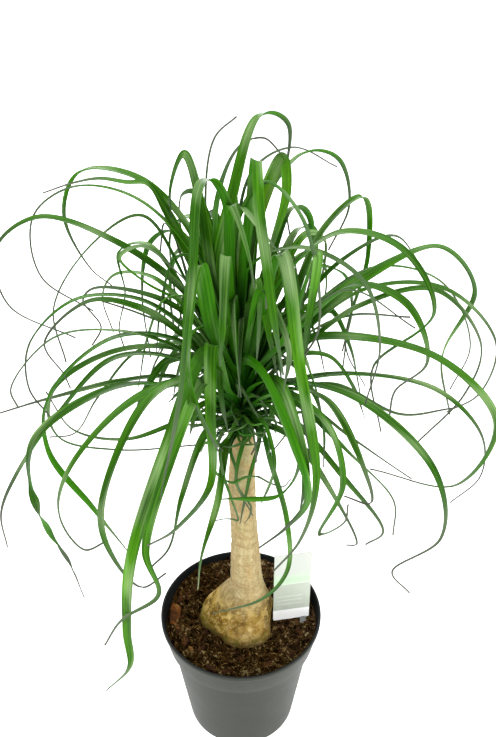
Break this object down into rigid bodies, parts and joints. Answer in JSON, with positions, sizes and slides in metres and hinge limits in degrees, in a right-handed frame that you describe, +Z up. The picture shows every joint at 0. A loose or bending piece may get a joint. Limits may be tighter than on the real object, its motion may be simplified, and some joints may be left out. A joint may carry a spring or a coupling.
{
  "type": "potted ponytail palm",
  "caption": "Ponytail palm in a plastic nursery pot: a swollen woody foot, a slim pale trunk and a fountain of long arching strap leaves, with a blank plant label.",
  "frame": {"origin": "middle of the flat underside of the pot", "axes": "+Z up along the pot's axis; the front, which the picture shows, faces -Y, and the label stands towards +X"},
  "size_m": [0.424, 0.3511, 0.6857],
  "materials": {
    "pot": "fine-grained grey plastic, darker on the rim and inside",
    "soil": "loose dark potting mix with bark chips and fibres",
    "trunk": "rough dry bark, pale on the trunk and olive brown on the foot",
    "leaf": "smooth satin leaf, deep green with paler bends and dry tips",
    "label": "smooth white plastic card with a plain grey-green band"
  },
  "bodies": {
    "root": {"pot": "pot", "soil": "soil", "trunk": "trunk", "leaf_head": "leaf", "plant_label": "label"}
  },
  "joints": []
}
